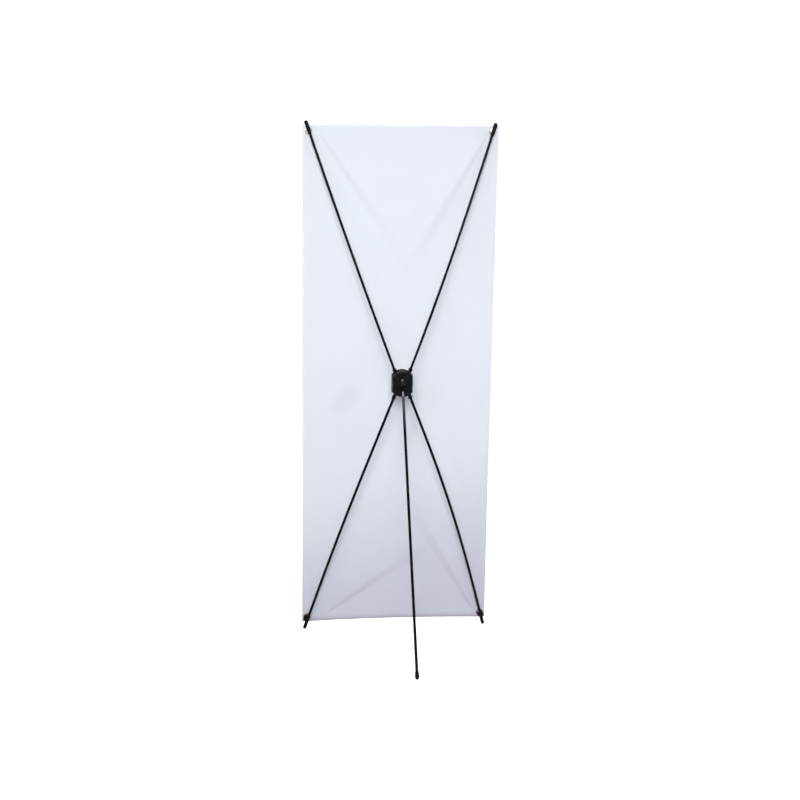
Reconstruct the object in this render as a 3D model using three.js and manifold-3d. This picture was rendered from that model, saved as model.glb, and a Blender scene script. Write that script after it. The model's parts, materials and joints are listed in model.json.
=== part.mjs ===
// A free-standing banner stand: a folding hub holds four springy arms in a cross and one
// rear leg, and the arms' end caps hold a cloth banner by an eyelet in each of its corners.
// The print side of the cloth faces -Y, the leg stands towards +Y, and +X is to the right
// of someone who faces the print. Lengths are in millimetres, angles in degrees.
import * as THREE from 'three';
import { mergeVertices } from 'three/addons/utils/BufferGeometryUtils.js';
import Module from 'manifold-3d';

const wasm = await Module();
wasm.setup();

// Cloth banner
const clothWidth = 600;
const clothHeight = 1600;
const clothThickness = 0.6;
const eyeletRise = 16.5;
const upperLeftEyeletInset = 18.5;
const upperRightEyeletInset = 16;
const lowerLeftEyeletInset = 17;
const lowerRightEyeletInset = 16;
const bottomScallop = 5;
const topScallop = 1;
const sideScallop = 1.6;
const foldDepth = 5;
const foldHalfWidth = 19;
const foldStart = 28;
const foldRise = 95;
const foldReach = 430;
const foldSpreadShare = 0.16;
const upperLeftFoldLean = 33;
const upperRightFoldLean = 35;
const lowerLeftFoldLean = 34;
const lowerRightFoldLean = 50;
const clothColumns = 15;
const clothRows = 32;
const gridCrowdingShare = 0.42;

// Stance
const leanBack = 8;
const legSpread = 35.9;
const hubBehindCloth = 100;
const hubAboveEdge = 819;
const hubSideOffset = -3.6;
const footSideOffset = 6;

// Clearances and the overrun of every cut
const seatGap = 0.3;
const runningGap = 0.5;
const overrun = 6;

// Eyelets and washers
const eyeletBore = 12.4;
const eyeletDiameter = 22.5;
const barrelWall = 0.7;
const flangeThickness = 1.4;
const washerThickness = 1.3;
const lipWidth = 1.5;
const lipThickness = 0.7;
const ringRound = 0.5;

// Arms
const upperRodDiameter = 7.8;
const lowerRodDiameter = 8.4;
const pivotSpread = 32;
const upperPivotRise = 17;
const lowerPivotDrop = 22;
const upperLeftTipInset = 11;
const upperRightTipInset = 9.3;
const lowerLeftTipInset = 6.7;
const lowerRightTipInset = 8.6;
const upperLeftTipBeyondEdge = 5.4;
const upperRightTipBeyondEdge = 9.3;
const lowerTipBeyondEdge = 16.8;
const tipBehindCloth = 7;
const upperLeftBow = 3.8;
const upperRightBow = 3.6;
const lowerLeftBow = 15.8;
const lowerRightBow = 8.6;
const foldAngle = 18;
const foldMargin = 1;

// Arm sockets
const eyeDiameter = 19;
const eyeThickness = 11;
const collarDiameter = 11;
const collarReach = 29.5;
const collarLip = 1;
const collarLipLength = 6;
const rodGrip = 17;

// End caps
const capDiameter = 11.5;
const capNeckDiameter = 10.4;
const capRound = 1.4;
const upperCapLength = 36;
const lowerCapLength = 44;
const capGrip = 16;
const floorTrim = 0.8;
const pegDiameter = 5;
const pegBeyondFlange = 0.8;
const pegRound = 0.8;
const upperPegBossDiameter = 7.5;
const lowerPegBossDiameter = 18.5;

// Hub shells
const hubWidth = 65;
const domeTop = 41.5;
const shoulderTop = 31;
const shoulderWidth = 55;
const shoulderBottom = 24.5;
const heelTop = -28.5;
const heelWidth = 51;
const heelBottom = -34.5;
const bottomTip = -44;
const frontDepth = 15;
const rearDepth = 17;
const shellWall = 2.5;
const rimStep = 1.5;
const shellBevel = 2.4;
const padWidth = 23;
const padHeight = 29;
const padRise = 7;
const padCentre = 6;
const bossDiameter = 13;

// Pivot screws
const screwDiameter = 4;
const screwHeadDiameter = 7.6;
const screwHeadHeight = 2.6;
const screwBite = 6;
const screwHeadDepth = 7;
const driveWidth = 3.6;
const driveDepth = 1.4;

// Rear leg
const legRodDiameter = 8.4;
const legPivotDrop = 3;
const legPivotBehind = 11;
const knuckleDiameter = 10;
const knuckleWidth = 6;
const legSocketDiameter = 8;
const legSocketReach = 24;
const legSocketLip = 5;
const spigotDiameter = 5.4;
const spigotGrip = 10;
const legRodStart = 40.5;
const pinDiameter = 4;
const cheekThickness = 4.2;
const cheekDrop = 5.5;
const slotWidth = 12;
const footDiameter = 12.4;
const footRoundLength = 10;
const footLength = 24;
const footNeckDiameter = 10.4;
const footGrip = 14;

// Facets
const roundSides = 20;
const boreSides = 16;
const rodArcs = 5;
const rodSteps = 22;
const legSteps = 1;
const outlineArcs = 8;
const tipRings = 4;
const sphereRings = 8;

// Finishes
const finishes = {
  cloth: { color: 0xe6edf3, roughness: 0.75, metalness: 0 },
  rod: { color: 0x0b0b10, roughness: 0.22, metalness: 0 },
  plastic: { color: 0x17181b, roughness: 0.38, metalness: 0 },
  cap: { color: 0x0e0e10, roughness: 0.45, metalness: 0 },
  nickel: { color: 0xcabfa6, roughness: 0.28, metalness: 1 },
  steel: { color: 0x2c2d30, roughness: 0.4, metalness: 1 },
  plated: { color: 0xb9babd, roughness: 0.25, metalness: 1 },
};

const half = (size) => size / 2;
const lean = THREE.MathUtils.degToRad(leanBack);
const normalAxis = new THREE.Vector3(0, 1, 0);
const upAxis = new THREE.Vector3(0, 0, 1);

// Places in the plane of the cloth: x across, y behind it and z up along it, from the floor
const tipHeight = (half(capDiameter) - floorTrim + tipBehindCloth * Math.sin(lean)) / Math.cos(lean);
const clothBottom = tipHeight + lowerTipBeyondEdge;
const clothMiddle = clothBottom + half(clothHeight);
const hubPlace = new THREE.Vector3(hubSideOffset, hubBehindCloth, clothBottom + hubAboveEdge);
const washerRear = half(clothThickness) + seatGap + washerThickness;
const barrelRear = washerRear + seatGap + lipThickness;
const flangeFront = half(clothThickness) + seatGap + flangeThickness;
const pegFront = flangeFront + pegBeyondFlange;
const pegSeat = half(eyeletBore) - half(pegDiameter) - seatGap;

function finish(name) {
  return new THREE.MeshStandardMaterial(finishes[name]);
}

function node(name, geometry, finishName) {
  const mesh = new THREE.Mesh(geometry, finish(finishName));
  mesh.name = name;
  return mesh;
}

function toSolid(geometry) {
  const plain = geometry.clone();
  plain.deleteAttribute('normal');
  plain.deleteAttribute('uv');
  const merged = mergeVertices(plain);
  const vertProperties = new Float32Array(merged.attributes.position.array);
  const triVerts = new Uint32Array(merged.index.array);
  return new wasm.Manifold(new wasm.Mesh({ numProp: 3, vertProperties, triVerts }));
}

function toGeometry(solid) {
  const mesh = solid.getMesh();
  const geometry = new THREE.BufferGeometry();
  geometry.setAttribute('position', new THREE.BufferAttribute(mesh.vertProperties, 3));
  geometry.setIndex(new THREE.BufferAttribute(mesh.triVerts, 1));
  geometry.computeVertexNormals();
  return geometry;
}

function fuse(geometries) {
  return geometries.map(toSolid).reduce((whole, solid) => whole.add(solid));
}

function carve(solid, cutters) {
  return cutters.map(toSolid).reduce((rest, cutter) => rest.subtract(cutter), solid);
}

// A round bar along Z from one height to another
function barAlongZ(diameter, from, to, sides = roundSides) {
  const bar = new THREE.CylinderGeometry(half(diameter), half(diameter), to - from, sides);
  return bar.rotateX(Math.PI / 2).translate(0, 0, half(from + to));
}

// A round bar along Y, through x and z
function barAlongY(diameter, from, to, x = 0, z = 0, sides = roundSides) {
  const bar = new THREE.CylinderGeometry(half(diameter), half(diameter), to - from, sides);
  return bar.translate(x, half(from + to), z);
}

// A round bar along X
function barAlongX(diameter, from, to, y = 0, z = 0, sides = roundSides) {
  const bar = new THREE.CylinderGeometry(half(diameter), half(diameter), to - from, sides);
  return bar.rotateZ(Math.PI / 2).translate(half(from + to), y, z);
}

function block(low, high) {
  const size = new THREE.Vector3().subVectors(high, low);
  const middle = new THREE.Vector3().addVectors(low, high).multiplyScalar(0.5);
  return new THREE.BoxGeometry(size.x, size.y, size.z).translate(middle.x, middle.y, middle.z);
}

// A lathed solid whose axis is Z; the profile holds radius and height, from the low end up
function turnedAlongZ(profile, sides = roundSides) {
  const points = profile.map(([radius, height]) => new THREE.Vector2(radius, height));
  return new THREE.LatheGeometry(points, sides).rotateX(Math.PI / 2);
}

// An outline in x and z, made a plate between two depths
function plate(outline, front, rear, bevel = 0) {
  const settings = { depth: rear - front - 2 * bevel, curveSegments: outlineArcs, bevelEnabled: bevel > 0 };
  Object.assign(settings, { bevelThickness: bevel, bevelSize: bevel, bevelOffset: -bevel, bevelSegments: 2 });
  return new THREE.ExtrudeGeometry(outline, settings).rotateX(Math.PI / 2).translate(0, rear - bevel, 0);
}

// The round end of a turned piece; it can be longer than a half ball
function roundEnd(radius, centre, endLength = radius) {
  const points = [];
  for (let ring = 0; ring <= tipRings; ring += 1) {
    const turn = (ring / tipRings) * (Math.PI / 2);
    points.push([radius * Math.cos(turn), centre + endLength * Math.sin(turn)]);
  }
  points[tipRings][0] = 0;
  return points;
}

// Centre line of a loaded rod: it leaves the hub in the hub's plane, bends forward like a
// cantilever to the cloth, and bows outward like a strut. The chord runs along Z.
class RodLine extends THREE.Curve {
  constructor(length, bow, forward, from, to) {
    super();
    Object.assign(this, { length, bow, forward, from, to });
  }

  getPoint(share, target = new THREE.Vector3()) {
    const along = this.from + (this.to - this.from) * share;
    const cantilever = (3 * along ** 2 - along ** 3) / 2;
    return target.set(this.bow * Math.sin(Math.PI * along), -this.forward * cantilever, this.length * along);
  }
}

function rodGeometry(diameter, line, steps) {
  const section = new THREE.Shape().absarc(0, 0, half(diameter), 0, 2 * Math.PI);
  return new THREE.ExtrudeGeometry(section, { steps, curveSegments: rodArcs, extrudePath: line });
}

// Arms: side is -1 on the left and 1 on the right, level is 1 for the upper pair
const armPlans = [
  {
    name: 'upper_left', side: -1, level: 1, bow: upperLeftBow, tipInset: upperLeftTipInset,
    tipBeyondEdge: upperLeftTipBeyondEdge, eyeletInset: upperLeftEyeletInset, foldLean: upperLeftFoldLean,
  },
  {
    name: 'upper_right', side: 1, level: 1, bow: upperRightBow, tipInset: upperRightTipInset,
    tipBeyondEdge: upperRightTipBeyondEdge, eyeletInset: upperRightEyeletInset, foldLean: upperRightFoldLean,
  },
  {
    name: 'lower_left', side: -1, level: -1, bow: lowerLeftBow, tipInset: lowerLeftTipInset,
    tipBeyondEdge: lowerTipBeyondEdge, eyeletInset: lowerLeftEyeletInset, foldLean: lowerLeftFoldLean,
  },
  {
    name: 'lower_right', side: 1, level: -1, bow: lowerRightBow, tipInset: lowerRightTipInset,
    tipBeyondEdge: lowerTipBeyondEdge, eyeletInset: lowerRightEyeletInset, foldLean: lowerRightFoldLean,
  },
];

function layOutArm({ name, side, level, bow, tipInset, tipBeyondEdge, eyeletInset, foldLean }) {
  const upper = level > 0;
  const pivotHeight = upper ? upperPivotRise : -lowerPivotDrop;
  const pivot = new THREE.Vector3(half(pivotSpread) * side, 0, pivotHeight).add(hubPlace);
  const tipX = side * (half(clothWidth) - tipInset);
  const tipZ = clothMiddle + level * (half(clothHeight) + tipBeyondEdge);
  const tip = new THREE.Vector3(tipX, tipBehindCloth, tipZ);
  const chord = new THREE.Vector3(tip.x - pivot.x, 0, tip.z - pivot.z);
  const eyeletX = side * (half(clothWidth) - eyeletInset);
  const eyeletZ = clothMiddle + level * (half(clothHeight) - eyeletRise);
  const eyelet = new THREE.Vector3(eyeletX, 0, eyeletZ);
  const towardsCorner = new THREE.Vector3(side, 0, level).setLength(pegSeat);
  const outward = side * level;
  return {
    name,
    side,
    level,
    foldLean,
    pivot,
    tip,
    upper,
    outward,
    eyelet,
    peg: eyelet.clone().add(towardsCorner),
    length: chord.length(),
    turn: Math.atan2(chord.x, chord.z),
    bow: bow * outward,
    forward: hubBehindCloth - tipBehindCloth,
    socketTurn: Math.atan((bow * outward * Math.PI) / chord.length()),
    rodDiameter: upper ? upperRodDiameter : lowerRodDiameter,
    capLength: upper ? upperCapLength : lowerCapLength,
    pegBossDiameter: upper ? upperPegBossDiameter : lowerPegBossDiameter,
  };
}

const arms = armPlans.map(layOutArm);

// Where the leg's knuckle turns, and how the leg lies from there to the floor
const legPivot = new THREE.Vector3(0, legPivotBehind, -legPivotDrop);
const legTilt = THREE.MathUtils.degToRad(legSpread);
const legPivotHeight = (hubPlace.z + legPivot.z) * Math.cos(lean) - (hubPlace.y + legPivot.y) * Math.sin(lean);
const footSlope = legTilt - lean;
const footRest = Math.hypot(half(footDiameter) * Math.sin(footSlope), footRoundLength * Math.cos(footSlope));
const legDrop = legPivotHeight - footRest + floorTrim;
const legDrift = Math.atan(footSideOffset / legDrop);
const legLength = legDrop / Math.cos(footSlope) / Math.cos(legDrift);

function slab(inset) {
  const outline = new THREE.Shape();
  const reach = half(hubWidth) - inset;
  const shoulder = half(shoulderWidth) - inset;
  const heel = half(heelWidth) - inset;
  outline.moveTo(-shoulder, shoulderTop - inset);
  outline.lineTo(-reach, shoulderBottom - inset);
  outline.lineTo(-reach, heelTop + inset);
  outline.lineTo(-heel, heelBottom + inset);
  outline.quadraticCurveTo(0, 2 * bottomTip - heelBottom + inset, heel, heelBottom + inset);
  outline.lineTo(reach, heelTop + inset);
  outline.lineTo(reach, shoulderBottom - inset);
  outline.lineTo(shoulder, shoulderTop - inset);
  outline.quadraticCurveTo(0, 2 * domeTop - shoulderTop - inset, -shoulder, shoulderTop - inset);
  return outline;
}

// The room that an arm's socket sweeps, from its open place to its folded one
function sweepCutters(arm) {
  const halfRoom = half(eyeThickness) + seatGap;
  const halfWidth = half(collarDiameter) + collarLip + runningGap;
  const far = collarReach + overrun + half(hubWidth);
  const swing = THREE.MathUtils.degToRad(foldAngle + foldMargin);
  const inward = new THREE.Vector2(-arm.outward * Math.cos(swing), -Math.sin(swing)).multiplyScalar(halfWidth);
  const folded = new THREE.Vector2(-arm.outward * Math.sin(swing), Math.cos(swing));
  folded.multiplyScalar(far).add(inward);
  const fan = new THREE.Shape();
  fan.moveTo(arm.outward * halfWidth, 0);
  fan.lineTo(arm.outward * halfWidth, far);
  fan.lineTo(folded.x, folded.y);
  fan.lineTo(inward.x, inward.y);
  fan.closePath();
  const place = new THREE.Matrix4().makeRotationY(arm.turn + arm.socketTurn);
  place.setPosition(arm.pivot.clone().sub(hubPlace));
  const eyeRoom = barAlongY(eyeDiameter + 2 * runningGap, -halfRoom, halfRoom);
  return [plate(fan, -halfRoom, halfRoom), eyeRoom].map((cutter) => cutter.applyMatrix4(place));
}

const pivotSpots = arms.map((arm) => arm.pivot.clone().sub(hubPlace));
const eyeRoomHalf = half(eyeThickness) + seatGap;
const knuckleRoomHalf = half(knuckleWidth) + seatGap;
const slotFront = legPivotBehind - half(knuckleDiameter) - runningGap;
const slotTop = half(knuckleDiameter) + runningGap - legPivotDrop;
const slotFloor = rearDepth - shellWall;
const cheekBottom = -legPivotDrop - cheekDrop;
const cheekReach = knuckleRoomHalf + cheekThickness;

function screwDirection(index) {
  return arms[index].upper ? 1 : -1;
}

// A pivot screw's head lies deep in one shell and its point in the other shell's boss
function screwPlaces(index) {
  const towards = screwDirection(index);
  const faceDepth = towards > 0 ? rearDepth : frontDepth;
  const seat = faceDepth - screwHeadDepth;
  const point = eyeRoomHalf + screwBite;
  return { towards, faceDepth, seat, point };
}

function screwCutters(index) {
  const { towards, faceDepth, seat, point } = screwPlaces(index);
  const { x, z } = pivotSpots[index];
  const bore = screwDiameter + 2 * seatGap;
  const ends = [towards * (seat + overrun), -towards * (point + seatGap)].sort((a, b) => a - b);
  const beyondFace = faceDepth + padRise + overrun;
  const headEnds = [towards * (seat - seatGap), towards * beyondFace].sort((a, b) => a - b);
  return [
    barAlongY(bore, ends[0], ends[1], x, z, boreSides),
    barAlongY(screwHeadDiameter + 2 * runningGap, headEnds[0], headEnds[1], x, z),
  ];
}

function bosses(from, to) {
  return pivotSpots.map(({ x, z }) => barAlongY(bossDiameter, from, to, x, z));
}

function hubFrontShell() {
  const body = plate(slab(0), -frontDepth, frontDepth, shellBevel);
  const rearHalf = block(new THREE.Vector3(-hubWidth, -half(seatGap), 2 * bottomTip),
    new THREE.Vector3(hubWidth, frontDepth + overrun, 2 * domeTop));
  const room = plate(slab(shellWall), shellWall - frontDepth, overrun);
  const hollow = carve(toSolid(body), [room, rearHalf]);
  const bossed = hollow.add(fuse(bosses(half(shellWall) - frontDepth, -eyeRoomHalf)));
  const cutters = arms.flatMap(sweepCutters).concat(arms.flatMap((arm, index) => screwCutters(index)));
  return node('hub_front_shell', toGeometry(carve(bossed, cutters)), 'plastic');
}

function hubRearShell() {
  const body = plate(slab(rimStep), -rearDepth, rearDepth, shellBevel);
  const pad = new THREE.SphereGeometry(1, roundSides, sphereRings);
  pad.scale(half(padWidth), padRise, half(padHeight)).translate(0, rearDepth, padCentre);
  const frontHalf = block(new THREE.Vector3(-hubWidth, -rearDepth - overrun, 2 * bottomTip),
    new THREE.Vector3(hubWidth, half(seatGap), 2 * domeTop));
  const room = plate(slab(rimStep + shellWall), -overrun, rearDepth - shellWall);
  const hollow = carve(fuse([body, pad]), [room, frontHalf]);
  const cheeks = block(new THREE.Vector3(-cheekReach, slotFront, cheekBottom),
    new THREE.Vector3(cheekReach, rearDepth - half(shellWall), slotTop + cheekThickness));
  const stiffened = hollow.add(fuse([cheeks, ...bosses(eyeRoomHalf, rearDepth - half(shellWall))]));
  const beyondPad = rearDepth + padRise + overrun;
  const slots = [
    block(new THREE.Vector3(-knuckleRoomHalf, slotFront - overrun, cheekBottom - overrun),
      new THREE.Vector3(knuckleRoomHalf, beyondPad, slotTop)),
    block(new THREE.Vector3(-half(slotWidth), slotFloor, 2 * bottomTip),
      new THREE.Vector3(half(slotWidth), beyondPad, slotTop)),
    block(new THREE.Vector3(-half(slotWidth), slotFront - overrun, 2 * bottomTip),
      new THREE.Vector3(half(slotWidth), beyondPad, cheekBottom)),
  ];
  const pinRoom = barAlongX(pinDiameter + 2 * seatGap, -cheekReach - overrun, cheekReach + overrun,
    legPivot.y, legPivot.z, boreSides);
  const cutters = arms.flatMap(sweepCutters).concat(arms.flatMap((arm, index) => screwCutters(index)));
  return node('hub_rear_shell', toGeometry(carve(stiffened, [...slots, pinRoom, ...cutters])), 'plastic');
}

function pivotScrew(index) {
  const { towards, seat, point } = screwPlaces(index);
  const { x, z } = pivotSpots[index];
  const top = seat + screwHeadHeight;
  const screw = toSolid(turnedAlongZ([
    [0, -point],
    [half(screwDiameter), -point],
    [half(screwDiameter), seat],
    [half(screwHeadDiameter), seat],
    [half(screwHeadDiameter), top - ringRound],
    [half(screwHeadDiameter) - ringRound, top],
    [0, top],
  ], boreSides));
  const drive = barAlongZ(driveWidth, top - driveDepth, top + overrun, 6);
  const geometry = toGeometry(carve(screw, [drive]));
  geometry.rotateX(-towards * Math.PI / 2).translate(x, 0, z);
  return node(`${arms[index].name}_pivot_screw`, geometry, 'steel');
}

function legPin() {
  const pin = barAlongX(pinDiameter, -cheekReach, cheekReach, legPivot.y, legPivot.z, boreSides);
  return node('leg_pivot_pin', pin, 'steel');
}

// A moulded socket: an eye or knuckle that turns, and a collar that grips a rod
function collar(diameter, reach) {
  const radius = half(diameter);
  return turnedAlongZ([
    [0, 0],
    [radius, 0],
    [radius, reach - collarLipLength - collarLip],
    [radius + collarLip, reach - collarLipLength],
    [radius + collarLip, reach - ringRound],
    [radius + collarLip - ringRound, reach],
    [0, reach],
  ]);
}

function armSocket(arm) {
  const halfEye = half(eyeThickness);
  const body = fuse([barAlongY(eyeDiameter, -halfEye, halfEye), collar(collarDiameter, collarReach)]);
  const trims = [-1, 1].map((face) => {
    const far = face * (halfEye + overrun);
    const depths = [face * halfEye, far].sort((a, b) => a - b);
    const reach = half(eyeDiameter) + overrun;
    const high = new THREE.Vector3(reach, depths[1], half(eyeDiameter));
    return block(new THREE.Vector3(-reach, depths[0], -reach), high);
  });
  const rodRoom = barAlongZ(arm.rodDiameter + 2 * seatGap, collarReach - rodGrip - seatGap,
    collarReach + overrun, boreSides);
  const pivotRoom = barAlongY(screwDiameter + 2 * seatGap, -eyeThickness, eyeThickness, 0, 0, boreSides);
  const mesh = node(`${arm.name}_socket`, toGeometry(carve(body, [...trims, rodRoom, pivotRoom])), 'plastic');
  mesh.rotation.y = arm.socketTurn;
  return mesh;
}

function armRod(arm) {
  const from = (collarReach - rodGrip) / arm.length;
  const to = 1 - (arm.capLength - capGrip) / arm.length;
  const line = new RodLine(arm.length, arm.bow, arm.forward, from, to);
  return node(`${arm.name}_rod`, rodGeometry(arm.rodDiameter, line, rodSteps), 'rod');
}

// A cap slips over the rod's end; its peg goes through the eyelet, square to the cloth, and
// bears on the corner side of the eyelet's bore, because the stretched cloth pulls inward
function armCap(arm, toArm) {
  const radius = half(capDiameter);
  const neck = half(capNeckDiameter);
  const body = turnedAlongZ([
    [0, -arm.capLength],
    [neck - ringRound, -arm.capLength],
    [neck, ringRound - arm.capLength],
    [radius, capRound + ringRound - arm.capLength],
    ...roundEnd(radius, 0),
  ]);
  const rodRoom = barAlongZ(arm.rodDiameter + 2 * seatGap, -arm.capLength - overrun,
    capGrip + seatGap - arm.capLength, boreSides);
  const endSlope = new THREE.Vector3(-Math.PI * arm.bow, -1.5 * arm.forward, arm.length).normalize();
  const place = new THREE.Matrix4().makeRotationFromQuaternion(
    new THREE.Quaternion().setFromUnitVectors(upAxis, endSlope));
  place.setPosition(0, -arm.forward, arm.length);
  const spot = arm.peg.clone().sub(arm.pivot).applyAxisAngle(normalAxis, -arm.turn);
  const front = -hubBehindCloth - pegFront;
  const bossFront = barrelRear + seatGap - hubBehindCloth;
  const bossRear = tipBehindCloth + half(capDiameter) - hubBehindCloth;
  const peg = turnedAlongZ([
    [0, 0],
    [half(arm.pegBossDiameter), 0],
    [half(arm.pegBossDiameter), bossRear - bossFront],
    [half(pegDiameter), bossRear - bossFront],
    [half(pegDiameter), bossRear - front - pegRound],
    [half(pegDiameter) - pegRound, bossRear - front],
    [0, bossRear - front],
  ], boreSides);
  peg.rotateX(Math.PI / 2).translate(spot.x, bossRear, spot.z);
  const shaped = carve(fuse([body.applyMatrix4(place), peg]), [rodRoom.applyMatrix4(place)]);
  const trimmed = arm.upper ? shaped : carve(shaped, [floorBlock().applyMatrix4(toArm)]);
  return node(`${arm.name}_cap`, toGeometry(trimmed), 'cap');
}

// Everything under the floor, in the whole object's frame
function floorBlock() {
  const reach = clothHeight;
  return block(new THREE.Vector3(-reach, -reach, -reach), new THREE.Vector3(reach, reach, 0));
}

function legSocket() {
  const knuckle = barAlongX(knuckleDiameter, -half(knuckleWidth), half(knuckleWidth));
  const sleeve = turnedAlongZ([
    [0, 0],
    [half(knuckleWidth), 0],
    [half(knuckleWidth), cheekDrop + ringRound],
    [half(legSocketDiameter), legSocketReach - legSocketLip],
    [half(legSocketDiameter), legSocketReach - ringRound],
    [half(legSocketDiameter) - ringRound, legSocketReach],
    [0, legSocketReach],
  ]);
  const spigotRoom = barAlongZ(spigotDiameter + 2 * seatGap, legSocketReach - spigotGrip - seatGap,
    legSocketReach + overrun, boreSides).rotateY(legDrift);
  const pinRoom = barAlongX(pinDiameter + 2 * seatGap, -knuckleWidth, knuckleWidth, 0, 0, boreSides);
  return node('leg_socket', toGeometry(carve(fuse([knuckle, sleeve]), [spigotRoom, pinRoom])), 'plastic');
}

// A bright spigot joins the socket to the leg's rod, which is bored to take it
function legParts(toLeg) {
  const leg = new THREE.Group();
  leg.add(legSocket());
  const drifted = new THREE.Group();
  drifted.rotation.y = legDrift;
  const spigot = barAlongZ(spigotDiameter, legSocketReach - spigotGrip, legRodStart + spigotGrip);
  drifted.add(node('leg_spigot', spigot, 'plated'));
  const footStart = legLength + footRoundLength - footLength;
  const rodEnd = footStart + footGrip;
  const line = new THREE.LineCurve3(new THREE.Vector3(0, 0, legRodStart), new THREE.Vector3(0, 0, rodEnd));
  const rodBore = barAlongZ(spigotDiameter + 2 * seatGap, legRodStart - overrun, legRodStart + spigotGrip + seatGap,
    boreSides);
  const rod = carve(toSolid(rodGeometry(legRodDiameter, line, legSteps)), [rodBore]);
  drifted.add(node('leg_rod', toGeometry(rod), 'rod'));
  const footBody = turnedAlongZ([
    [0, footStart],
    [half(footNeckDiameter) - ringRound, footStart],
    [half(footNeckDiameter), footStart + ringRound],
    [half(half(footDiameter + footNeckDiameter)), half(footStart + legLength) - ringRound],
    [half(footDiameter), legLength - ringRound],
    ...roundEnd(half(footDiameter), legLength, footRoundLength),
  ]);
  const footRoom = barAlongZ(legRodDiameter + 2 * seatGap, footStart - overrun, rodEnd + seatGap, boreSides);
  const driftBack = new THREE.Matrix4().makeRotationY(-legDrift);
  const floor = floorBlock().applyMatrix4(toLeg).applyMatrix4(driftBack);
  drifted.add(node('leg_foot', toGeometry(carve(toSolid(footBody), [footRoom, floor])), 'cap'));
  leg.add(drifted);
  return leg;
}

// How far the stretched cloth stands out of its plane: a soft fold runs in from each eyelet
function clothRelief(x, z) {
  return arms.reduce((sum, arm) => {
    const slant = THREE.MathUtils.degToRad(arm.foldLean);
    const inX = arm.side * (arm.eyelet.x - x);
    const inZ = arm.level * (arm.eyelet.z - clothMiddle - z);
    const along = inX * Math.sin(slant) + inZ * Math.cos(slant);
    const across = inX * Math.cos(slant) - inZ * Math.sin(slant);
    const rise = THREE.MathUtils.smoothstep(along, foldStart, foldRise);
    const width = foldHalfWidth + foldSpreadShare * Math.max(along, 0);
    const ridge = Math.exp(-((across / width) ** 2));
    return sum + foldDepth * rise * Math.exp(-((along / foldReach) ** 2)) * ridge;
  }, 0);
}

// Crowds the grid lines towards the edges, where the folds start
function crowd(share) {
  return share + (gridCrowdingShare * Math.sin(2 * Math.PI * share)) / (2 * Math.PI);
}

// Turns the diagonals of a box's front side, so that both sides of a bent sheet stay equally far apart
function alignDiagonals(sheet) {
  const front = sheet.groups[3];
  const corners = sheet.index.array;
  for (let index = front.start; index < front.start + front.count; index += 6) {
    const [a, b, d, , c] = corners.slice(index, index + 6);
    corners.set([a, b, c, a, c, d], index);
  }
}

function banner() {
  const sheet = new THREE.BoxGeometry(clothWidth, clothThickness, clothHeight, clothColumns, 1, clothRows);
  alignDiagonals(sheet);
  const spots = sheet.attributes.position;
  for (let index = 0; index < spots.count; index += 1) {
    const shareX = crowd(spots.getX(index) / clothWidth);
    const shareZ = crowd(spots.getZ(index) / clothHeight);
    const spanX = Math.cos(Math.PI * shareX);
    const spanZ = Math.cos(Math.PI * shareZ);
    const x = shareX * (clothWidth - 2 * sideScallop * spanZ);
    const edgeZ = spanX * (bottomScallop * (0.5 - shareZ) - topScallop * (0.5 + shareZ));
    const z = shareZ * clothHeight;
    spots.setXYZ(index, x, spots.getY(index) + clothRelief(x, z), z + edgeZ);
  }
  sheet.translate(0, 0, clothMiddle);
  const holeDiameter = eyeletBore + 2 * barrelWall + 2 * seatGap;
  const holes = arms.map(({ eyelet }) => barAlongY(holeDiameter, -overrun, overrun, eyelet.x, eyelet.z, boreSides));
  return node('banner_cloth', toGeometry(carve(toSolid(sheet), holes)), 'cloth');
}

// A closed ring about the cloth's normal
function ring(profile) {
  const points = [...profile, profile[0]].map(([radius, depth]) => new THREE.Vector2(radius, depth));
  return new THREE.LatheGeometry(points, roundSides);
}

function eyelet(arm) {
  const inner = half(eyeletBore);
  const outer = half(eyeletDiameter);
  const barrel = inner + barrelWall;
  const seat = half(clothThickness) + seatGap;
  const geometry = ring([
    [inner, -flangeFront + ringRound],
    [inner + ringRound, -flangeFront],
    [outer - 2 * ringRound, -flangeFront],
    [outer, -seat - ringRound],
    [outer, -seat],
    [barrel, -seat],
    [barrel, washerRear + seatGap],
    [barrel + lipWidth, washerRear + seatGap],
    [barrel + lipWidth - ringRound, barrelRear],
    [inner, barrelRear],
  ]);
  return node(`${arm.name}_eyelet`, geometry.translate(arm.eyelet.x, 0, arm.eyelet.z), 'nickel');
}

function washer(arm) {
  const inner = half(eyeletBore) + barrelWall + seatGap;
  const outer = half(eyeletDiameter);
  const seat = half(clothThickness) + seatGap;
  const geometry = ring([
    [inner, seat],
    [outer, seat],
    [outer, seat + ringRound],
    [outer - 2 * ringRound, washerRear],
    [inner, washerRear],
  ]);
  return node(`${arm.name}_washer`, geometry.translate(arm.eyelet.x, 0, arm.eyelet.z), 'nickel');
}

const stand = new THREE.Group();
const leaning = new THREE.Group();
leaning.rotation.x = -lean;
stand.add(leaning);

const hub = new THREE.Group();
hub.position.copy(hubPlace);
hub.add(hubFrontShell(), hubRearShell(), legPin());
arms.forEach((arm, index) => hub.add(pivotScrew(index)));
leaning.add(hub);

arms.forEach((arm) => {
  const group = new THREE.Group();
  group.position.copy(arm.pivot);
  group.rotation.y = arm.turn;
  leaning.add(group);
  group.updateWorldMatrix(true, false);
  group.add(armSocket(arm), armRod(arm), armCap(arm, group.matrixWorld.clone().invert()));
});

const legHolder = new THREE.Group();
legHolder.position.copy(legPivot);
legHolder.rotation.x = Math.PI + legTilt;
hub.add(legHolder);
legHolder.updateWorldMatrix(true, false);
legHolder.add(legParts(legHolder.matrixWorld.clone().invert()));

leaning.add(banner());
arms.forEach((arm) => leaning.add(eyelet(arm), washer(arm)));

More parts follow.
